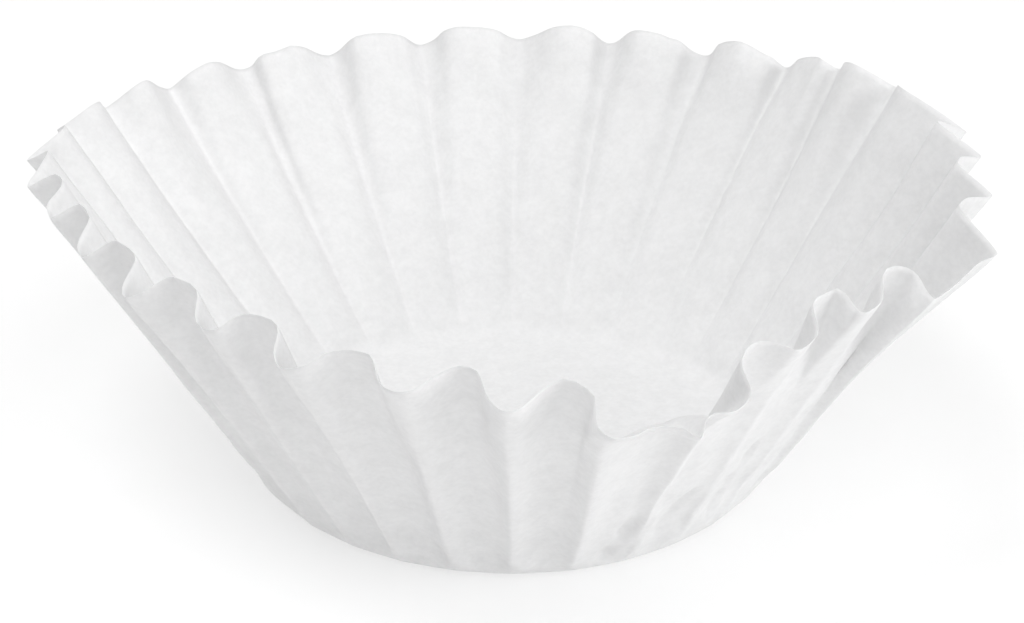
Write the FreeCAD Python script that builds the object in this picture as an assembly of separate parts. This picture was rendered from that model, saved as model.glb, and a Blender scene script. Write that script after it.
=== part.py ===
import FreeCAD, Part
import math
import os

# Basket coffee filter: one round disc of crepe filter paper, pressed into a flat
# round base and a flared wall with thirty flutes, sitting open on its base.
#
# Frame: Z up, origin at the centre of the base on the resting plane.
# -Y is the low front side of the rim, +Y the high back side.
#
# The wall is described in the paper's own coordinates. "fold" runs round the
# filter clockwise (seen from above): a whole number is the middle of an inward
# fold, a half number the middle of an outward fold. "slant" is the distance
# along the paper from the sharp corner of the base, so the rim is the cut edge
# of the disc and lies at one slant everywhere.

doc = FreeCAD.newDocument("coffee_filter")

# ---------------------------------------------------------------- dimensions
sheet = doc.addObject("Spreadsheet::Sheet", "Dimensions")
sheet.Label = "dimensions"

DRIVING = [
    ("base_radius", 41.3, "radius of the flat base, to the sharp corner"),
    ("slant_length", 60.3, "paper from the corner of the base to the cut edge"),
    ("paper_thickness", 0.15, "thickness of the paper"),
    ("corner_reach", 2.4, "how far the rounded base corner runs along base and wall"),
    ("fold_count", 30, "number of flutes"),
    ("flute_start", 4.0, "slant over which the flutes rise from nothing"),
    ("first_azimuth", 84.0, "azimuth of fold 0 at the base, clockwise from +X"),
]

# Rim, point by point round the loop: fold number, azimuth (degrees clockwise from
# +X), lean of the paper from the vertical (degrees). Inward folds stand steeper,
# so they end higher and nearer the middle; outward folds lean out, so they end
# lower. Fold 25 has sprung outward at the rim and leaves one broad corner; the
# middle of fold 29 has sprung outward too and its rim sags forward.
RIM = [
    (0, 84.6, 32.4), (0.15, 86.6, 33.6), (0.43, 89.6, 36.7), (0.5, 90.5, 36.9),
    (0.64, 92.1, 35.4), (0.89, 93.8, 31.0), (1, 95.4, 30.5), (1.13, 97.1, 31.5),
    (1.44, 100.8, 34.8), (1.5, 101.6, 34.9), (1.59, 103.0, 34.4), (1.89, 105.7, 29.9),
    (2, 107.4, 29.7), (2.17, 110.0, 30.6), (2.34, 112.0, 33.1), (2.42, 113.2, 33.8),
    (2.5, 114.4, 34.0), (2.62, 116.0, 32.0), (2.74, 116.6, 29.3), (2.84, 117.7, 27.7),
    (2.93, 119.7, 27.3), (3, 121.0, 27.4), (3.15, 122.6, 28.4), (3.39, 124.2, 31.3),
    (3.5, 125.4, 31.6), (3.57, 126.8, 31.0), (3.8, 129.9, 26.6), (3.85, 131.0, 26.1),
    (4, 134.4, 26.2), (4.33, 136.6, 30.5), (4.5, 138.3, 31.9), (4.54, 139.2, 31.3),
    (4.75, 141.6, 26.7), (4.79, 142.4, 26.1), (4.84, 143.7, 25.8), (5, 147.5, 26.1),
    (5.5, 149.6, 31.1), (5.57, 151.3, 30.7), (5.63, 152.5, 30.0), (5.82, 156.2, 26.5),
    (5.94, 159.2, 26.4), (6, 160.6, 26.8), (6.5, 161.8, 31.5), (6.63, 165.1, 31.5),
    (6.68, 166.2, 31.0), (6.8, 168.3, 28.6), (6.86, 170.0, 28.3), (6.92, 171.6, 28.7),
    (7, 173.4, 29.6), (7.5, 175.3, 34.8), (7.57, 176.6, 34.7), (7.7, 178.7, 33.6),
    (7.94, 183.2, 32.9), (8, 184.3, 33.1), (8.28, 185.9, 36.8), (8.5, 187.8, 39.0),
    (8.85, 191.5, 34.8), (9, 192.9, 34.3), (9.15, 194.7, 35.1), (9.3, 196.6, 37.4),
    (9.4, 197.9, 39.6), (9.5, 199.3, 41.0), (9.85, 203.3, 38.0), (10, 204.8, 37.6),
    (10.15, 206.6, 38.5), (10.3, 208.5, 41.2), (10.4, 209.8, 43.7),
    (10.5, 211.2, 45.4), (10.85, 215.0, 40.6), (11, 216.4, 40.0), (11.42, 222.1, 47.6),
    (11.5, 223.3, 48.8), (11.72, 225.5, 44.6), (11.91, 228.4, 42.5), (12, 229.9, 43.3),
    (12.5, 235.0, 49.8), (12.56, 235.8, 49.1), (12.69, 236.2, 46.4),
    (12.75, 236.9, 45.2), (12.88, 239.0, 45.2), (13, 240.7, 43.9),
    (13.11, 242.3, 45.1), (13.45, 246.0, 50.6), (13.5, 246.7, 51.0),
    (13.56, 247.6, 49.9), (13.76, 249.1, 45.1), (13.83, 250.0, 44.0),
    (13.88, 251.1, 43.8), (14, 253.3, 44.2), (14.17, 255.5, 45.7), (14.5, 258.6, 50.7),
    (14.63, 260.1, 49.0), (14.83, 261.5, 45.1), (14.95, 263.1, 43.8),
    (15, 263.9, 43.9), (15.12, 266.0, 44.4), (15.25, 268.0, 45.7),
    (15.43, 270.0, 49.1), (15.5, 271.0, 49.8), (15.63, 272.9, 48.1),
    (15.88, 275.9, 43.9), (16, 277.9, 43.1), (16.05, 278.7, 43.4),
    (16.25, 280.6, 46.0), (16.44, 281.8, 49.4), (16.5, 282.5, 50.1),
    (16.55, 283.0, 49.8), (17, 287.1, 42.9), (17.12, 289.5, 43.6),
    (17.19, 290.6, 44.8), (17.25, 291.8, 45.3), (17.44, 293.7, 49.6),
    (17.5, 294.8, 50.4), (17.85, 298.0, 43.6), (18, 300.0, 41.5), (18.07, 301.3, 41.1),
    (18.14, 302.3, 41.9), (18.28, 304.1, 44.4), (18.34, 305.1, 45.0),
    (18.5, 306.6, 48.3), (18.8, 310.2, 42.0), (19, 313.3, 39.0), (19.16, 314.4, 38.6),
    (19.33, 315.6, 39.8), (19.5, 316.9, 41.2),
    (19.6, 318.2, 39.6), (19.7, 319.4, 37.0), (19.85, 321.2, 34.2), (20, 323.0, 33.0),
    (20.15, 324.4, 33.6), (20.5, 327.9, 38.3), (20.6, 329.8, 36.6),
    (20.7, 331.7, 33.9), (20.85, 334.4, 31.1), (21, 336.9, 30.2), (21.15, 339.3, 31.0),
    (21.3, 341.9, 33.3), (21.4, 343.7, 35.5), (21.5, 345.6, 36.9), (21.6, 346.7, 35.0),
    (21.7, 347.8, 32.3), (21.85, 349.3, 29.3), (22, 350.7, 28.3), (22.15, 352.2, 29.0),
    (22.3, 353.8, 31.1), (22.4, 354.9, 33.1), (22.5, 356.0, 34.4), (22.6, 357.9, 33.0),
    (22.7, 359.6, 31.0), (22.85, 362.2, 28.8), (23, 364.6, 28.1), (23.15, 365.6, 28.8),
    (23.3, 366.7, 30.9), (23.4, 367.4, 32.8), (23.5, 368.2, 34.1),
    (23.85, 374.5, 29.6), (24, 377.0, 29.0), (24.15, 378.2, 29.9), (24.3, 379.5, 32.7),
    (24.4, 380.4, 35.4), (24.5, 381.3, 37.1), (24.85, 385.8, 35.6), (25, 387.5, 35.4),
    (25.5, 397.4, 35.1), (25.56, 397.6, 34.3), (25.84, 396.5, 30.5), (26, 397.5, 28.5),
    (26.13, 399.6, 27.8), (26.2, 400.8, 28.2), (26.5, 404.9, 31.7),
    (26.69, 407.5, 32.0), (26.74, 408.2, 31.5), (26.96, 408.1, 27.7),
    (27, 408.5, 27.1), (27.17, 411.7, 27.2), (27.23, 412.7, 27.7), (27.5, 415.3, 32.5),
    (27.71, 418.4, 33.7), (27.84, 419.9, 32.3), (28, 422.2, 31.0),
    (28.05, 423.1, 31.1), (28.16, 424.7, 32.3), (28.25, 425.5, 34.1),
    (28.39, 425.5, 36.9), (28.5, 426.5, 38.9), (28.65, 428.6, 39.8),
    (28.75, 430.1, 39.5), (28.82, 430.9, 39.9), (29, 432.2, 42.6),
    (29.15, 433.7, 40.8), (29.25, 435.0, 40.3), (29.31, 436.3, 40.2),
    (29.43, 438.7, 41.1), (29.5, 440.1, 41.2), (29.55, 440.9, 40.8),
    (29.63, 441.8, 39.1), (29.79, 441.6, 35.5), (29.91, 442.9, 33.3),
    (29.96, 443.8, 32.6),
]

# Mean lean of the wall, without its flutes: azimuth, degrees from the vertical.
MEAN = [
    (84.0, 34.6), (110.0, 30.8), (140.0, 28.8), (160.0, 29.3),
    (176.0, 32.4), (190.0, 36.4), (205.0, 41.0), (220.0, 45.2),
    (240.0, 47.8), (262.0, 47.8), (285.0, 47.3), (300.0, 45.8),
    (312.0, 42.2), (325.0, 36.4), (340.0, 33.4), (356.0, 31.6),
    (372.0, 31.8), (386.0, 32.6), (400.0, 31.0), (412.0, 30.6),
    (424.0, 32.6), (434.0, 35.6),
]

row = 1
for name, value, note in DRIVING:
    sheet.set("A%d" % row, name)
    sheet.set("B%d" % row, str(value))
    sheet.set("C%d" % row, note)
    sheet.setAlias("B%d" % row, name)
    row += 1
for i, (fold, azimuth, lean) in enumerate(RIM):
    sheet.set("A%d" % row, "rim at fold %g" % fold)
    sheet.set("B%d" % row, str(azimuth))
    sheet.setAlias("B%d" % row, "rim_azimuth_%03d" % i)
    sheet.set("C%d" % row, str(lean))
    sheet.setAlias("C%d" % row, "rim_lean_%03d" % i)
    row += 1
for i, (azimuth, lean) in enumerate(MEAN):
    sheet.set("A%d" % row, "mean lean at azimuth %g" % azimuth)
    sheet.set("B%d" % row, str(lean))
    sheet.setAlias("B%d" % row, "mean_lean_%02d" % i)
    row += 1
doc.recompute()


def cell(alias):
    value = sheet.get(alias)
    return float(getattr(value, "Value", value))


BASE = cell("base_radius")
SLANT = cell("slant_length")
THICK = cell("paper_thickness")
REACH = cell("corner_reach")
FOLDS = int(cell("fold_count"))
START = cell("flute_start")
FIRST = cell("first_azimuth")
PITCH = 360.0 / FOLDS

rim_fold = [n[0] for n in RIM]
rim_azimuth = [cell("rim_azimuth_%03d" % i) for i in range(len(RIM))]
rim_lean = [cell("rim_lean_%03d" % i) for i in range(len(RIM))]
mean_azimuth = [n[0] for n in MEAN]
mean_lean = [cell("mean_lean_%02d" % i) for i in range(len(MEAN))]


# ------------------------------------------------------------- interpolation
def smooth(x):
    x = min(1.0, max(0.0, x))
    return x * x * (3.0 - 2.0 * x)


class Loop:
    """Smooth curve through points round a closed loop that never overshoots
    them. "rise" is what the value gains in one turn."""

    def __init__(self, xs, ys, turn, rise=0.0):
        self.xs = [xs[-1] - turn] + list(xs) + [xs[0] + turn, xs[1] + turn]
        self.ys = [ys[-1] - rise] + list(ys) + [ys[0] + rise, ys[1] + rise]
        self.turn, self.rise, self.first = turn, rise, xs[0]
        n = len(self.xs)
        step = [self.xs[i + 1] - self.xs[i] for i in range(n - 1)]
        grad = [(self.ys[i + 1] - self.ys[i]) / step[i] for i in range(n - 1)]
        self.slope = [0.0] * n
        for i in range(1, n - 1):
            if grad[i - 1] * grad[i] > 0:
                a = 2.0 * step[i] + step[i - 1]
                b = step[i] + 2.0 * step[i - 1]
                self.slope[i] = (a + b) / (a / grad[i - 1] + b / grad[i])
        self.slope[0] = self.slope[n - 3]

    def __call__(self, x):
        laps = math.floor((x - self.first) / self.turn)
        x -= laps * self.turn
        i = 1
        while self.xs[i + 1] < x:
            i += 1
        h = self.xs[i + 1] - self.xs[i]
        t = (x - self.xs[i]) / h
        t2, t3 = t * t, t * t * t
        return (
            self.ys[i] * (2 * t3 - 3 * t2 + 1)
            + self.slope[i] * h * (t3 - 2 * t2 + t)
            + self.ys[i + 1] * (3 * t2 - 2 * t3)
            + self.slope[i + 1] * h * (t3 - t2)
            + laps * self.rise
        )


azimuth_at_rim = Loop(rim_fold, rim_azimuth, FOLDS, 360.0)
lean_at_rim = Loop(rim_fold, rim_lean, FOLDS)
mean_at_azimuth = Loop(mean_azimuth, mean_lean, 360.0)


# ------------------------------------------------------------------ the wall
def scallop(t, p, n):
    """0 at the middle of an inward fold, 1 at the crease of an outward one."""
    b = p / (n - p)
    return (1.0 + b) * t ** p - b * t ** n


def in_front(fold):
    """1 on the tall gathered side that faces the front, 0 on the spread side."""
    d = abs((fold + 0.5 * FOLDS) % FOLDS - 0.5 * FOLDS)
    return smooth((9.5 - d) / 3.0)


def flute(fold):
    """-1 on an inward fold, +1 on an outward one. Broad lands between creases,
    each fold leaning to one side: one flank short, the other long."""
    u = fold - round(fold)
    t = abs(u) * 2.0
    if u > 0.0:
        spread, gathered = scallop(t, 3.8, 15.0), scallop(t, 2.1, 9.0)
    else:
        spread, gathered = scallop(t, 2.2, 13.0), scallop(t, 4.2, 14.0)
    k = in_front(fold)
    return 2.0 * (spread * (1.0 - k) + gathered * k) - 1.0


def sprung(fold):
    """1 inside the fold that has sprung open at the front rim, 0 elsewhere."""
    f = fold % FOLDS
    return smooth((f - 28.3) / 0.35) * smooth((29.9 - f) / 0.35)


def eased(fold):
    """1 where the right-hand flutes have been pressed nearly flat, 0 elsewhere."""
    f = fold % FOLDS
    return smooth((f - 25.2) / 0.8) * smooth((28.9 - f) / 0.8)


def lean_of(fold, slant):
    """Azimuth and lean (radians) of the paper at a fold number and slant."""
    f = slant / SLANT
    late = 0.26 * eased(fold)
    w = smooth((f - 0.38 - late) / (0.62 - late))
    open_here = sprung(fold)
    if open_here > 0.0:
        w = w + (smooth((f - 0.74) / 0.26) - w) * open_here
    regular = FIRST + PITCH * fold
    at_rim = azimuth_at_rim(fold)
    azimuth = regular + (at_rim - regular) * smooth(f)
    mean = math.radians(mean_at_azimuth(azimuth))
    spare = slant * (1.0 - math.sin(mean)) / (BASE + slant * math.sin(mean))
    wave = 2.0 * math.pi * (BASE + slant * math.sin(mean)) / FOLDS
    depth = (0.62 + 0.04 * in_front(fold)) * (1.0 - 0.55 * eased(fold)) * wave / math.pi * math.sqrt(max(0.0, spare))
    depth *= smooth(slant / START)
    body = depth * flute(fold) / max(slant, 0.5)
    edge = math.radians(lean_at_rim(fold) - mean_at_azimuth(at_rim))
    return math.radians(azimuth), mean + body * (1.0 - w) + edge * w


def middle(fold, v):
    """Middle surface of the paper. v < 0: round the corner; v >= 0: the wall."""
    if v < 0.0:
        u = 1.0 + v
        azimuth, lean = lean_of(fold, REACH * max(u, 0.001))
        tip = (BASE + REACH * math.sin(lean), REACH * math.cos(lean))
        r = (1 - u) ** 2 * (BASE - REACH) + 2 * u * (1 - u) * BASE + u * u * tip[0]
        z = u * u * tip[1]
    else:
        slant = REACH + (SLANT - REACH) * v
        azimuth, lean = lean_of(fold, slant)
        r = BASE + slant * math.sin(lean)
        z = slant * math.cos(lean)
    return FreeCAD.Vector(
        r * math.cos(azimuth), -r * math.sin(azimuth), z + 0.5 * THICK
    )


ROWS = [-1.0, -0.8, -0.55, -0.3, -0.05]
ROWS += [0.02, 0.05, 0.09, 0.14, 0.20, 0.27, 0.35, 0.44, 0.53, 0.62, 0.70, 0.77]
ROWS += [0.83, 0.885, 0.935, 0.972, 1.0]
PER_FOLD = 16
COLUMNS = FOLDS * PER_FOLD


def fold_of(column):
    """Columns stand closer together at the creases than on the lands."""
    return column / PER_FOLD + 0.10 * math.sin(2.0 * math.pi * column / PER_FOLD)


def skin(side):
    """Poles of one face of the paper: side +1 is the outer face, -1 the inner."""
    grid = []
    for v in ROWS:
        ring = []
        for i in range(COLUMNS):
            fold = fold_of(i)
            here = middle(fold, v)
            if v <= -1.0:
                ring.append(here - FreeCAD.Vector(0, 0, side * 0.5 * THICK))
                continue
            around = middle(fold + 0.02, v) - middle(fold - 0.02, v)
            if v >= 1.0:
                up = here - middle(fold, v - 0.01)
            else:
                up = middle(fold, min(v + 0.01, 1.0)) - middle(fold, max(v - 0.01, -1.0))
            out = up.cross(around)
            out.normalize()
            ring.append(here + out * (side * 0.5 * THICK))
        # a cubic loop passes through its points once its poles are set so
        poles = [FreeCAD.Vector(p) for p in ring]
        for _ in range(24):
            fixed = []
            for i in range(COLUMNS):
                a, b, c = poles[i - 1], poles[i], poles[(i + 1) % COLUMNS]
                fixed.append(b + (ring[i] - (a + b * 4.0 + c) * (1.0 / 6.0)))
            poles = fixed
        grid.append(poles)
    return [[grid[j][i] for j in range(len(ROWS))] for i in range(COLUMNS)]


def surface(side):
    rows = len(ROWS)
    face = Part.BSplineSurface()
    face.buildFromPolesMultsKnots(
        skin(side),
        [1] * (COLUMNS + 1),
        [4] + [1] * (rows - 4) + [4],
        [float(i) for i in range(COLUMNS + 1)],
        [float(i) for i in range(rows - 2)],
        True,
        False,
        3,
        3,
    )
    return Part.Face(face)


def ends(face):
    """The face's lower and upper closed edges."""
    rings = [e for e in face.Edges if e.isClosed() and not e.isSeam(face)]
    rings.sort(key=lambda e: e.CenterOfMass.z)
    return rings[0], rings[-1]


outer = surface(+1)
inner = surface(-1)
outer_low, outer_high = ends(outer)
inner_low, inner_high = ends(inner)
under = Part.Face(Part.Wire([outer_low]))
floor = Part.Face(Part.Wire([inner_low]))
cut_edge = Part.makeRuledSurface(outer_high, inner_high)
shell = Part.makeShell([outer, inner, under, floor] + cut_edge.Faces)
shell.sewShape()
solid = Part.makeSolid(shell.Shells[0] if shell.ShapeType != "Shell" else shell)
if solid.Volume < 0:
    solid.reverse()

filter_paper = doc.addObject("Part::Feature", "filter_paper")
filter_paper.Label = "filter_paper"
filter_paper.Shape = solid
filter_paper.Placement = FreeCAD.Placement(
    FreeCAD.Vector(0, 0, 0), FreeCAD.Rotation(0, 0, 0, 1)
)
doc.recompute()

# -------------------------------------------------------------------- output
PIECES = [filter_paper]
for item in doc.Objects:
    if "Invalid" in item.State or "Error" in item.State:
        raise RuntimeError("%s failed: %s" % (item.Label, item.State))
for piece in PIECES:
    shape = piece.Shape
    if shape.isNull() or not shape.isValid() or not shape.isClosed():
        raise RuntimeError("%s is not a sound solid" % piece.Label)
    if len(shape.Solids) != 1 or shape.Volume <= 0:
        raise RuntimeError("%s is not one solid" % piece.Label)

os.makedirs("parts", exist_ok=True)
for piece in PIECES:
    piece.Shape.exportStep("parts/%s.step" % piece.Label)
    box = piece.Shape.BoundBox
    print(
        "%s: %.1f x %.1f x %.1f mm, %.0f mm3, area %.0f mm2"
        % (piece.Label, box.XLength, box.YLength, box.ZLength, piece.Shape.Volume, piece.Shape.Area)
    )
    print("z from %.4f to %.3f" % (box.ZMin, box.ZMax))
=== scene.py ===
import math

import bpy
import numpy as np
from mathutils import Matrix, Vector


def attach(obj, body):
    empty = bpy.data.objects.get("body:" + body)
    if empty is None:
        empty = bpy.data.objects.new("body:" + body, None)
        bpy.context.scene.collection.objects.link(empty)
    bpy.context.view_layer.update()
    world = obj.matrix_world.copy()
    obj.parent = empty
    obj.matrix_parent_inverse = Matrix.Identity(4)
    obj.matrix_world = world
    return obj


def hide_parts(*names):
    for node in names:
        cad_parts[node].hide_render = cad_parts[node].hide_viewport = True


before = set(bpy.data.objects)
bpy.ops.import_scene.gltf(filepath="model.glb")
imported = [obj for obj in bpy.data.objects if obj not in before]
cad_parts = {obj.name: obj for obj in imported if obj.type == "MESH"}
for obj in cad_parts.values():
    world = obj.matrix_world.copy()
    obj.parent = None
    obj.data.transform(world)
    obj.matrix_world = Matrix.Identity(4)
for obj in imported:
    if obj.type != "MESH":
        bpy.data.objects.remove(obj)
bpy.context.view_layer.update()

# ---------------------------------------------------------------- the paper
# One disc of crepe paper: flat round base, rounded corner, fluted wall.
# Lengths in millimetres until the mesh is made. "fold" runs round the filter
# clockwise seen from above, a whole number on each inward fold; "slant" is the
# distance along the paper from the sharp corner of the base.
BASE = 41.3
SLANT = 60.3
THICK = 0.15
REACH = 2.4
FOLDS = 30
START = 4.0
FIRST = 84.0
PITCH = 360.0 / FOLDS

# The cut edge, read off round the loop: fold, azimuth and lean in degrees.
RIM = np.array([
    (0, 84.6, 32.4), (0.15, 86.6, 33.6), (0.43, 89.6, 36.7), (0.5, 90.5, 36.9), (0.64, 92.1, 35.4),
    (0.89, 93.8, 31.0), (1, 95.4, 30.5), (1.13, 97.1, 31.5), (1.44, 100.8, 34.8),
    (1.5, 101.6, 34.9), (1.59, 103.0, 34.4), (1.89, 105.7, 29.9), (2, 107.4, 29.7),
    (2.17, 110.0, 30.6), (2.34, 112.0, 33.1), (2.42, 113.2, 33.8), (2.5, 114.4, 34.0),
    (2.62, 116.0, 32.0), (2.74, 116.6, 29.3), (2.84, 117.7, 27.7), (2.93, 119.7, 27.3),
    (3, 121.0, 27.4), (3.15, 122.6, 28.4), (3.39, 124.2, 31.3), (3.5, 125.4, 31.6),
    (3.57, 126.8, 31.0), (3.8, 129.9, 26.6), (3.85, 131.0, 26.1), (4, 134.4, 26.2),
    (4.33, 136.6, 30.5), (4.5, 138.3, 31.9), (4.54, 139.2, 31.3), (4.75, 141.6, 26.7),
    (4.79, 142.4, 26.1), (4.84, 143.7, 25.8), (5, 147.5, 26.1), (5.5, 149.6, 31.1),
    (5.57, 151.3, 30.7), (5.63, 152.5, 30.0), (5.82, 156.2, 26.5), (5.94, 159.2, 26.4),
    (6, 160.6, 26.8), (6.5, 161.8, 31.5), (6.63, 165.1, 31.5), (6.68, 166.2, 31.0),
    (6.8, 168.3, 28.6), (6.86, 170.0, 28.3), (6.92, 171.6, 28.7), (7, 173.4, 29.6),
    (7.5, 175.3, 34.8), (7.57, 176.6, 34.7), (7.7, 178.7, 33.6), (7.94, 183.2, 32.9),
    (8, 184.3, 33.1), (8.28, 185.9, 36.8), (8.5, 187.8, 39.0), (8.85, 191.5, 34.8),
    (9, 192.9, 34.3), (9.15, 194.7, 35.1), (9.3, 196.6, 37.4), (9.4, 197.9, 39.6),
    (9.5, 199.3, 41.0), (9.85, 203.3, 38.0), (10, 204.8, 37.6), (10.15, 206.6, 38.5),
    (10.3, 208.5, 41.2), (10.4, 209.8, 43.7), (10.5, 211.2, 45.4), (10.85, 215.0, 40.6),
    (11, 216.4, 40.0), (11.42, 222.1, 47.6), (11.5, 223.3, 48.8), (11.72, 225.5, 44.6),
    (11.91, 228.4, 42.5), (12, 229.9, 43.3), (12.5, 235.0, 49.8), (12.56, 235.8, 49.1),
    (12.69, 236.2, 46.4), (12.75, 236.9, 45.2), (12.88, 239.0, 45.2), (13, 240.7, 43.9),
    (13.11, 242.3, 45.1), (13.45, 246.0, 50.6), (13.5, 246.7, 51.0), (13.56, 247.6, 49.9),
    (13.76, 249.1, 45.1), (13.83, 250.0, 44.0), (13.88, 251.1, 43.8), (14, 253.3, 44.2),
    (14.17, 255.5, 45.7), (14.5, 258.6, 50.7), (14.63, 260.1, 49.0), (14.83, 261.5, 45.1),
    (14.95, 263.1, 43.8), (15, 263.9, 43.9), (15.12, 266.0, 44.4), (15.25, 268.0, 45.7),
    (15.43, 270.0, 49.1), (15.5, 271.0, 49.8), (15.63, 272.9, 48.1), (15.88, 275.9, 43.9),
    (16, 277.9, 43.1), (16.05, 278.7, 43.4), (16.25, 280.6, 46.0), (16.44, 281.8, 49.4),
    (16.5, 282.5, 50.1), (16.55, 283.0, 49.8), (17, 287.1, 42.9), (17.12, 289.5, 43.6),
    (17.19, 290.6, 44.8), (17.25, 291.8, 45.3), (17.44, 293.7, 49.6), (17.5, 294.8, 50.4),
    (17.85, 298.0, 43.6), (18, 300.0, 41.5), (18.07, 301.3, 41.1), (18.14, 302.3, 41.9),
    (18.28, 304.1, 44.4), (18.34, 305.1, 45.0), (18.5, 306.6, 48.3), (18.8, 310.2, 42.0),
    (19, 313.3, 39.0), (19.16, 314.4, 38.6), (19.33, 315.6, 39.8),
    (19.5, 316.9, 41.2), (19.6, 318.2, 39.6), (19.7, 319.4, 37.0), (19.85, 321.2, 34.2),
    (20, 323.0, 33.0), (20.15, 324.4, 33.6), (20.5, 327.9, 38.3), (20.6, 329.8, 36.6),
    (20.7, 331.7, 33.9), (20.85, 334.4, 31.1), (21, 336.9, 30.2), (21.15, 339.3, 31.0),
    (21.3, 341.9, 33.3), (21.4, 343.7, 35.5), (21.5, 345.6, 36.9), (21.6, 346.7, 35.0),
    (21.7, 347.8, 32.3), (21.85, 349.3, 29.3), (22, 350.7, 28.3), (22.15, 352.2, 29.0),
    (22.3, 353.8, 31.1), (22.4, 354.9, 33.1), (22.5, 356.0, 34.4), (22.6, 357.9, 33.0),
    (22.7, 359.6, 31.0), (22.85, 362.2, 28.8), (23, 364.6, 28.1), (23.15, 365.6, 28.8),
    (23.3, 366.7, 30.9), (23.4, 367.4, 32.8), (23.5, 368.2, 34.1), (23.85, 374.5, 29.6),
    (24, 377.0, 29.0), (24.15, 378.2, 29.9), (24.3, 379.5, 32.7), (24.4, 380.4, 35.4),
    (24.5, 381.3, 37.1), (24.85, 385.8, 35.6), (25, 387.5, 35.4), (25.5, 397.4, 35.1),
    (25.56, 397.6, 34.3), (25.84, 396.5, 30.5), (26, 397.5, 28.5), (26.13, 399.6, 27.8),
    (26.2, 400.8, 28.2), (26.5, 404.9, 31.7), (26.69, 407.5, 32.0), (26.74, 408.2, 31.5),
    (26.96, 408.1, 27.7), (27, 408.5, 27.1), (27.17, 411.7, 27.2), (27.23, 412.7, 27.7),
    (27.5, 415.3, 32.5), (27.71, 418.4, 33.7), (27.84, 419.9, 32.3), (28, 422.2, 31.0),
    (28.05, 423.1, 31.1), (28.16, 424.7, 32.3), (28.25, 425.5, 34.1), (28.39, 425.5, 36.9),
    (28.5, 426.5, 38.9), (28.65, 428.6, 39.8), (28.75, 430.1, 39.5), (28.82, 430.9, 39.9),
    (29, 432.2, 42.6), (29.15, 433.7, 40.8), (29.25, 435.0, 40.3), (29.31, 436.3, 40.2),
    (29.43, 438.7, 41.1), (29.5, 440.1, 41.2), (29.55, 440.9, 40.8), (29.63, 441.8, 39.1),
    (29.79, 441.6, 35.5), (29.91, 442.9, 33.3), (29.96, 443.8, 32.6),
])

MEAN = np.array([
    (84.0, 34.6), (110.0, 30.8), (140.0, 28.8), (160.0, 29.3),
    (176.0, 32.4), (190.0, 36.4), (205.0, 41.0), (220.0, 45.2),
    (240.0, 47.8), (262.0, 47.8), (285.0, 47.3), (300.0, 45.8),
    (312.0, 42.2), (325.0, 36.4), (340.0, 33.4), (356.0, 31.6),
    (372.0, 31.8), (386.0, 32.6), (400.0, 31.0), (412.0, 30.6),
    (424.0, 32.6), (434.0, 35.6),
])


def smooth(x):
    x = np.clip(x, 0.0, 1.0)
    return x * x * (3.0 - 2.0 * x)


class Loop:
    """Smooth curve through points round a loop that never overshoots them."""

    def __init__(self, xs, ys, turn, rise=0.0):
        xs = np.asarray(xs, float)
        ys = np.asarray(ys, float)
        self.xs = np.concatenate([[xs[-1] - turn], xs, [xs[0] + turn, xs[1] + turn]])
        self.ys = np.concatenate([[ys[-1] - rise], ys, [ys[0] + rise, ys[1] + rise]])
        self.turn, self.rise, self.first = turn, rise, xs[0]
        step = np.diff(self.xs)
        grad = np.diff(self.ys) / step
        slope = np.zeros(len(self.xs))
        for i in range(1, len(self.xs) - 1):
            if grad[i - 1] * grad[i] > 0:
                a = 2.0 * step[i] + step[i - 1]
                b = step[i] + 2.0 * step[i - 1]
                slope[i] = (a + b) / (a / grad[i - 1] + b / grad[i])
        slope[0] = slope[-3]
        self.slope = slope

    def __call__(self, x):
        x = np.asarray(x, float)
        laps = np.floor((x - self.first) / self.turn)
        x = x - laps * self.turn
        i = np.clip(np.searchsorted(self.xs, x, side="right") - 1, 1, len(self.xs) - 2)
        h = self.xs[i + 1] - self.xs[i]
        t = (x - self.xs[i]) / h
        t2, t3 = t * t, t * t * t
        return (
            self.ys[i] * (2 * t3 - 3 * t2 + 1)
            + self.slope[i] * h * (t3 - 2 * t2 + t)
            + self.ys[i + 1] * (3 * t2 - 2 * t3)
            + self.slope[i + 1] * h * (t3 - t2)
            + laps * self.rise
        )


azimuth_at_rim = Loop(RIM[:, 0], RIM[:, 1], FOLDS, 360.0)
lean_at_rim = Loop(RIM[:, 0], RIM[:, 2], FOLDS)
mean_at_azimuth = Loop(MEAN[:, 0], MEAN[:, 1], 360.0)


def scallop(t, p, n):
    """0 at the middle of an inward fold, 1 at the crease of an outward one."""
    b = p / (n - p)
    return (1.0 + b) * t ** p - b * t ** n


def in_front(fold):
    """1 on the tall gathered side that faces the front, 0 on the spread side."""
    d = np.abs(np.mod(fold + 0.5 * FOLDS, FOLDS) - 0.5 * FOLDS)
    return smooth((9.5 - d) / 3.0)


def flute(fold):
    """Broad lands between creases; on the gathered side they lean one way."""
    u = fold - np.round(fold)
    t = np.abs(u) * 2.0
    spread = np.where(u > 0.0, scallop(t, 2.8, 12.0), scallop(t, 3.6, 14.0))
    gathered = np.where(u > 0.0, scallop(t, 2.1, 9.0), scallop(t, 4.2, 14.0))
    k = in_front(fold)
    return 2.0 * (spread * (1.0 - k) + gathered * k) - 1.0


def sprung(fold):
    f = np.mod(fold, FOLDS)
    return smooth((f - 28.3) / 0.35) * smooth((29.9 - f) / 0.35)


def eased(fold):
    """1 where the right-hand flutes have been pressed nearly flat, 0 elsewhere."""
    f = np.mod(fold, FOLDS)
    return smooth((f - 25.2) / 0.8) * smooth((28.9 - f) / 0.8)


def crease(fold):
    """0 on the lands, 1 on the outward creases."""
    return 0.5 - 0.5 * np.cos(2.0 * np.pi * fold)


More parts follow.
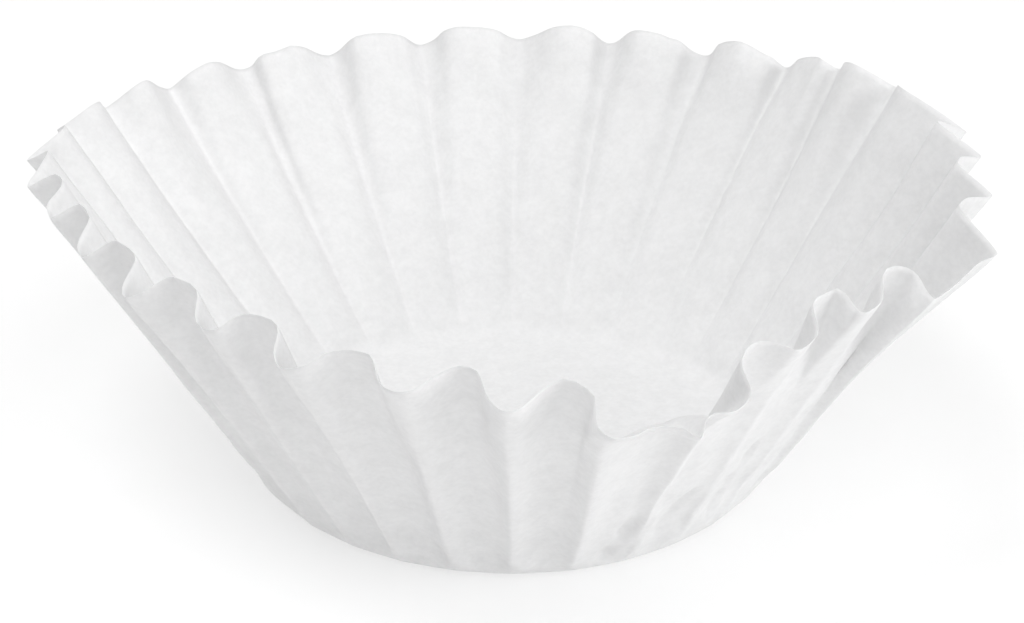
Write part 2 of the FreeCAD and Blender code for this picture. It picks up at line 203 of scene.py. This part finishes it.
def far(fold):
    """1 across the back, 0 at the sides and in front."""
    return smooth((6.0 - np.abs(np.mod(fold, FOLDS) - 15.0)) / 2.5)


def lean_of(fold, slant):
    f = slant / SLANT
    k = in_front(fold)
    late = 0.26 * eased(fold) + 0.30 * far(fold)
    w = smooth((f - 0.38 - late) / (0.62 - late))
    w = w + (smooth((f - 0.74) / 0.26) - w) * sprung(fold)
    regular = FIRST + PITCH * fold
    at_rim = azimuth_at_rim(fold)
    azimuth = regular + (at_rim - regular) * smooth(f)
    mean = np.radians(mean_at_azimuth(azimuth))
    spare = slant * (1.0 - np.sin(mean)) / (BASE + slant * np.sin(mean))
    wave = 2.0 * np.pi * (BASE + slant * np.sin(mean)) / FOLDS
    depth = (0.68 - 0.02 * k) * (1.0 - 0.55 * eased(fold)) * wave / np.pi * np.sqrt(np.maximum(0.0, spare))
    depth = depth * smooth(slant / START)
    body = depth * flute(fold) / np.maximum(slant, 0.5)
    edge = np.radians(lean_at_rim(fold) - mean_at_azimuth(at_rim) - 2.3 * far(fold) * crease(fold))
    return np.radians(azimuth), mean + body * (1.0 - w) + edge * w


def middle(fold, v):
    """Middle surface. v from -1 to 0 rounds the corner, 0 to 1 is the wall."""
    fold, v = np.broadcast_arrays(np.asarray(fold, float), np.asarray(v, float))
    corner = v < 0.0
    u = np.clip(1.0 + v, 0.0, 1.0)
    slant = np.where(corner, REACH * np.maximum(u, 0.001), REACH + (SLANT - REACH) * v)
    azimuth, lean = lean_of(fold, slant)
    # the back is cut a millimetre short at the creases
    slant = slant - 1.0 * far(fold) * crease(fold) * smooth((v - 0.5) / 0.5)
    rw = BASE + slant * np.sin(lean)
    zw = slant * np.cos(lean)
    rc = (1 - u) ** 2 * (BASE - REACH) + 2 * u * (1 - u) * BASE + u * u * (BASE + REACH * np.sin(lean))
    zc = u * u * REACH * np.cos(lean)
    r = np.where(corner, rc, rw)
    z = np.where(corner, zc, zw) + 0.5 * THICK
    return np.stack([r * np.cos(azimuth), -r * np.sin(azimuth), z], -1)


def noise(fold, slant, per_fold, length, seed):
    """Smooth uneven field over the sheet, -1 to 1, closed round the loop."""
    cols = FOLDS * per_fold
    rows = int(SLANT / length) + 3
    grid = np.random.RandomState(seed).uniform(-1.0, 1.0, (rows, cols))
    x = np.mod(fold, FOLDS) * per_fold
    y = np.clip(slant, 0.0, SLANT) / length
    i, j = np.floor(x).astype(int), np.floor(y).astype(int)
    tx, ty = smooth(x - i), smooth(y - j)
    i1 = (i + 1) % cols
    i = i % cols
    low = grid[j, i] * (1 - tx) + grid[j, i1] * tx
    high = grid[j + 1, i] * (1 - tx) + grid[j + 1, i1] * tx
    return low * (1 - ty) + high * ty


# Pinched spots: fold, slant, half width in folds, half length, height (out +), tilt
SPOTS = [
    (28.92, 5.0, 0.16, 2.4, -0.80, 0.00), (28.76, 12.2, 0.15, 3.0, -0.70, -0.02),
    (28.74, 24.2, 0.13, 3.4, -0.35, -0.02), (27.97, 10.6, 0.15, 3.2, -0.75, -0.02),
    (27.86, 16.4, 0.13, 2.8, -0.95, -0.02), (27.02, 10.8, 0.14, 3.4, -0.90, -0.01),
    (26.95, 23.1, 0.12, 3.4, -0.80, -0.01), (27.06, 17.0, 0.10, 2.2, -0.60, 0.0),
    (26.05, 14.5, 0.13, 3.4, -0.45, 0.00), (26.02, 27.0, 0.12, 3.6, -0.35, 0.00),
    (28.58, 18.5, 0.24, 4.6, -0.35, -0.02), (28.28, 25.0, 0.26, 4.4, -0.45, -0.03),
    (28.40, 8.5, 0.09, 5.0, 0.45, -0.02), (28.34, 13.5, 0.10, 3.0, 0.40, -0.02),
    (27.46, 13.0, 0.09, 6.0, 0.26, -0.01), (26.50, 15.0, 0.09, 6.0, 0.20, 0.0),
    (0.05, 9.0, 0.26, 2.2, -0.50, 0.05), (0.72, 6.5, 0.16, 2.2, -0.60, 0.03),
    (0.30, 4.4, 0.18, 1.8, 0.50, 0.0), (1.02, 12.5, 0.24, 2.6, -0.42, 0.04),
    (1.72, 7.5, 0.15, 2.4, -0.55, 0.03), (1.35, 4.8, 0.18, 1.8, 0.45, 0.0),
    (2.05, 11.0, 0.22, 2.4, -0.40, 0.03), (2.74, 7.0, 0.15, 2.2, -0.45, 0.02),
    (29.62, 8.0, 0.20, 2.4, 0.26, 0.02), (29.86, 14.0, 0.13, 2.4, -0.30, 0.03),
    (14.56, 23.0, 0.16, 2.2, -0.45, 0.03), (14.52, 28.5, 0.12, 2.0, 0.30, 0.0),
    (17.08, 11.4, 0.24, 0.9, -0.30, 0.02), (17.36, 12.2, 0.16, 0.9, 0.22, 0.02),
    (28.35, 43.7, 0.10, 2.6, -0.40, 0.03), (29.30, 52.0, 0.28, 4.5, -0.35, 0.02),
    (18.62, 33.0, 0.16, 2.0, -0.30, 0.04), (16.40, 41.0, 0.14, 2.2, 0.22, 0.03),
    (12.60, 36.0, 0.14, 2.4, -0.24, 0.03), (20.35, 18.0, 0.16, 2.2, -0.26, 0.03),
]


def relief(fold, slant):
    """Unevenness of the crepe paper, in mm, outward."""
    k = in_front(fold)
    foot = smooth((26.0 - slant) / 16.0)
    h = 0.10 * noise(fold, slant, 1, 11.0, 3) + 0.05 * noise(fold, slant, 2, 5.0, 4)
    h = h + 0.035 * noise(fold, slant, 4, 2.9, 5)
    h = h + k * foot * (0.24 * noise(fold, slant, 3, 3.1, 13) + 0.10 * noise(fold, slant, 6, 2.3, 14))
    h = h + eased(fold) * smooth((40.0 - slant) / 14.0) * 0.36 * noise(fold, slant, 2, 6.5, 31)
    for f0, s0, wide, long, height, tilt in SPOTS:
        df = np.mod(fold - f0 - tilt * (slant - s0) + 0.5 * FOLDS, FOLDS) - 0.5 * FOLDS
        q = (df / wide) ** 2 + ((slant - s0) / long) ** 2
        h = h + height * np.exp(-q * q * 0.8 - 0.4 * q)
    return h * smooth((slant - 0.8) / 4.0)


# ------------------------------------------------------------- mesh of it
PER_FOLD = 24
COLS = FOLDS * PER_FOLD
fold_line = np.arange(COLS) / PER_FOLD
fold_line = fold_line + 0.10 * np.sin(2.0 * np.pi * fold_line)  # closer columns at the creases
rows_v = np.concatenate([
    np.linspace(-1.0, 0.0, 8)[:-1],
    np.linspace(0.0, 1.0, 55),
])
F, V = np.meshgrid(fold_line, rows_v)
S = np.where(V < 0.0, 0.0, REACH + (SLANT - REACH) * V)
# the creases wander a little on their way up
wander = noise(F, S, 1, 5.5, 21) * smooth((S - 4.0) / 6.0) * smooth((56.0 - S) / 10.0)
wander = wander * (0.012 + 0.030 * in_front(F))
mid = middle(F + wander, V)


def normals(grid):
    around = np.roll(grid, -1, 1) - np.roll(grid, 1, 1)
    up = np.gradient(grid, axis=0)
    out = np.cross(up, around)
    return out / np.linalg.norm(out, axis=-1, keepdims=True)


mid = mid + normals(mid) * relief(F, S)[..., None]
out = normals(mid)
out[0] = (0, 0, -1)
# the cutter has pressed the edge thin
half = 0.5 * THICK * np.where(V == 1.0, 0.2, 1.0)[..., None]
outer = mid + out * half
inner = mid - out * half
outer[0, :, 2] = 0.0
inner[0, :, 2] = THICK

verts = []
faces = []


def add_grid(points, flip):
    start = len(verts)
    rows, cols = points.shape[:2]
    verts.extend(map(tuple, points.reshape(-1, 3)))
    for j in range(rows - 1):
        for i in range(cols):
            a = start + j * cols + i
            b = start + j * cols + (i + 1) % cols
            c = b + cols
            d = a + cols
            faces.append((a, b, c, d) if flip else (d, c, b, a))
    return start


def add_disc(first_ring, radius, z, flip):
    """Flat base: rings with fewer and fewer points, down to the centre."""
    ring = [first_ring + i for i in range(COLS)]
    count = COLS
    r = radius
    for step in (2, 2, 2, 3, 2):
        count //= step
        r_new = r * (0.90 if step == 2 and count > 90 else 0.7)
        azimuth = np.radians(FIRST + PITCH * np.arange(count) * FOLDS / count)
        start = len(verts)
        for a in azimuth:
            verts.append((r_new * math.cos(a), -r_new * math.sin(a), z))
        new = [start + i for i in range(count)]
        for i in range(count):
            outer_run = [ring[(i * step + k) % len(ring)] for k in range(step + 1)]
            face = outer_run + [new[(i + 1) % count], new[i]]
            faces.append(tuple(reversed(face)) if flip else tuple(face))
        ring, r = new, r_new
    face = tuple(ring)
    faces.append(tuple(reversed(face)) if flip else face)


top = len(rows_v) - 1
outer_start = add_grid(outer, False)
inner_start = add_grid(inner, True)
rim_face = (len(faces), len(faces) + COLS)
for i in range(COLS):
    a = outer_start + top * COLS + i
    b = outer_start + top * COLS + (i + 1) % COLS
    c = inner_start + top * COLS + (i + 1) % COLS
    d = inner_start + top * COLS + i
    faces.append((a, d, c, b))
add_disc(outer_start, BASE - REACH, 0.0, False)
add_disc(inner_start, BASE - REACH, THICK, True)

mesh = bpy.data.meshes.new("filter_sheet")
mesh.from_pydata([(x * 0.001, y * 0.001, z * 0.001) for x, y, z in verts], [], faces)
mesh.validate()
# the cut edge keeps its own flat shading
mesh.polygons.foreach_set("use_smooth", [not rim_face[0] <= i < rim_face[1] for i in range(len(mesh.polygons))])
mesh.update()
paper = bpy.data.objects.new("filter_sheet", mesh)
bpy.context.scene.collection.objects.link(paper)

# ---------------------------------------------------------------- material
mat = bpy.data.materials.new("white_crepe_paper")
mat.use_nodes = True
nt = mat.node_tree
bsdf = nt.nodes["Principled BSDF"]
place = nt.nodes.new("ShaderNodeTexCoord")


def grain(scale, detail, rough, warp=0.0):
    """Noise fixed to the sheet; scale in features a metre."""
    node = nt.nodes.new("ShaderNodeTexNoise")
    node.inputs["Scale"].default_value = scale
    node.inputs["Detail"].default_value = detail
    node.inputs["Roughness"].default_value = rough
    node.inputs["Distortion"].default_value = warp
    nt.links.new(place.outputs["Object"], node.inputs["Vector"])
    return node.outputs["Fac"]


def remap(value, low, high, to_low, to_high):
    node = nt.nodes.new("ShaderNodeMapRange")
    node.inputs["From Min"].default_value = low
    node.inputs["From Max"].default_value = high
    node.inputs["To Min"].default_value = to_low
    node.inputs["To Max"].default_value = to_high
    nt.links.new(value, node.inputs["Value"])
    return node.outputs["Result"]


def blend(one, other, share):
    node = nt.nodes.new("ShaderNodeMix")
    node.inputs["Factor"].default_value = share
    nt.links.new(one, node.inputs["A"])
    nt.links.new(other, node.inputs["B"])
    return node.outputs["Result"]


fibres = grain(1250.0, 3.0, 0.6)
clots = grain(430.0, 2.0, 0.5)
clouds = grain(150.0, 2.0, 0.5)
formation = blend(blend(fibres, clots, 0.40), clouds, 0.22)
tone = nt.nodes.new("ShaderNodeValToRGB")
tone.color_ramp.elements[0].position = 0.0
tone.color_ramp.elements[0].color = (0.848, 0.848, 0.850, 1.0)
tone.color_ramp.elements[1].position = 1.0
tone.color_ramp.elements[1].color = (0.906, 0.906, 0.908, 1.0)
nt.links.new(remap(formation, 0.38, 0.62, 0.0, 1.0), tone.inputs["Fac"])
nt.links.new(tone.outputs["Color"], bsdf.inputs["Base Color"])
nt.links.new(remap(fibres, 0.3, 0.7, 0.97, 0.86), bsdf.inputs["Roughness"])

# crepe: fine wrinkles about a millimetre apart, fibres finer than that
crepe = nt.nodes.new("ShaderNodeBump")
crepe.inputs["Strength"].default_value = 0.22
crepe.inputs["Distance"].default_value = 0.00016
nt.links.new(blend(grain(760.0, 2.0, 0.5, 0.4), fibres, 0.35), crepe.inputs["Height"])
nt.links.new(crepe.outputs["Normal"], bsdf.inputs["Normal"])

through = nt.nodes.new("ShaderNodeBsdfTranslucent")
nt.links.new(tone.outputs["Color"], through.inputs["Color"])
nt.links.new(crepe.outputs["Normal"], through.inputs["Normal"])
both = nt.nodes.new("ShaderNodeMixShader")
both.inputs["Fac"].default_value = 0.20
nt.links.new(bsdf.outputs[0], both.inputs[1])
nt.links.new(through.outputs[0], both.inputs[2])
nt.links.new(both.outputs[0], nt.nodes["Material Output"].inputs["Surface"])
paper.data.materials.append(mat)

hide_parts("filter_paper")
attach(paper, "root")

# ------------------------------------------------------------------- stage
floor_mesh = bpy.data.meshes.new("floor")
floor_mesh.from_pydata([(-3, -3, 0), (3, -3, 0), (3, 3, 0), (-3, 3, 0)], [], [(0, 1, 2, 3)])
floor = bpy.data.objects.new("floor", floor_mesh)
bpy.context.scene.collection.objects.link(floor)
fm = bpy.data.materials.new("floor_white")
fm.use_nodes = True
fb = fm.node_tree.nodes["Principled BSDF"]
fb.inputs["Base Color"].default_value = (0.55, 0.55, 0.55, 1.0)
fb.inputs["Roughness"].default_value = 0.9
fb.inputs["Emission Color"].default_value = (1.0, 1.0, 1.0, 1.0)
fb.inputs["Emission Strength"].default_value = 0.46
floor.data.materials.append(fm)
floor.location.z = -0.0001

scene = bpy.context.scene
scene.view_settings.view_transform = "Standard"
scene.view_settings.look = "None"
scene.view_settings.exposure = 0.0
scene.view_settings.gamma = 1.0

world = bpy.data.worlds.new("studio")
scene.world = world
world.use_nodes = True
bg = world.node_tree.nodes["Background"]
bg.inputs["Color"].default_value = (1.0, 1.0, 1.0, 1.0)
bg.inputs["Strength"].default_value = 0.385


def softbox(name, azimuth, elevation, power, size=0.8):
    """Round softbox, 1.4 m from the filter. Azimuth from +X."""
    a, e = math.radians(azimuth), math.radians(elevation)
    way = Vector((math.cos(e) * math.cos(a), math.cos(e) * math.sin(a), math.sin(e)))
    lamp = bpy.data.lights.new(name, "AREA")
    lamp.shape = "DISK"
    lamp.size = size
    lamp.energy = power
    ob = bpy.data.objects.new(name, lamp)
    ob.location = way * 1.4
    ob.rotation_euler = way.to_track_quat("Z", "Y").to_euler()
    scene.collection.objects.link(ob)
    return ob


softbox("right_low", -25, 20, 4.5)
softbox("right", -5, 15, 2.2)
softbox("front_right_low", -50, 15, 0.6)
softbox("front_right", -50, 35, 1.4)
softbox("right_high", -25, 65, 2.6)
softbox("front", -90, 50, 3.1)
softbox("left", 180, 50, 1.8)
softbox("left_high", 180, 70, 6.4)

# ------------------------------------------------------------------ camera
cam_data = bpy.data.cameras.new("camera")
cam = bpy.data.objects.new("camera", cam_data)
scene.collection.objects.link(cam)
cam_data.sensor_fit = "HORIZONTAL"
cam_data.sensor_width = 36.0
cam_data.lens = 2622.2 * 36.0 / 1024.0
forward = Vector((3.403e-4, 0.896946, -0.442140)).normalized()
right = forward.cross(Vector((0, 0, 1))).normalized()
upward = right.cross(forward)
turn = Matrix((right, upward, -forward)).transposed()
cam.matrix_world = Matrix.Translation((0.0, -9.24080 * 0.0413, 5.15448 * 0.0413)) @ turn.to_4x4()
scene.camera = cam

bpy.context.view_layer.update()
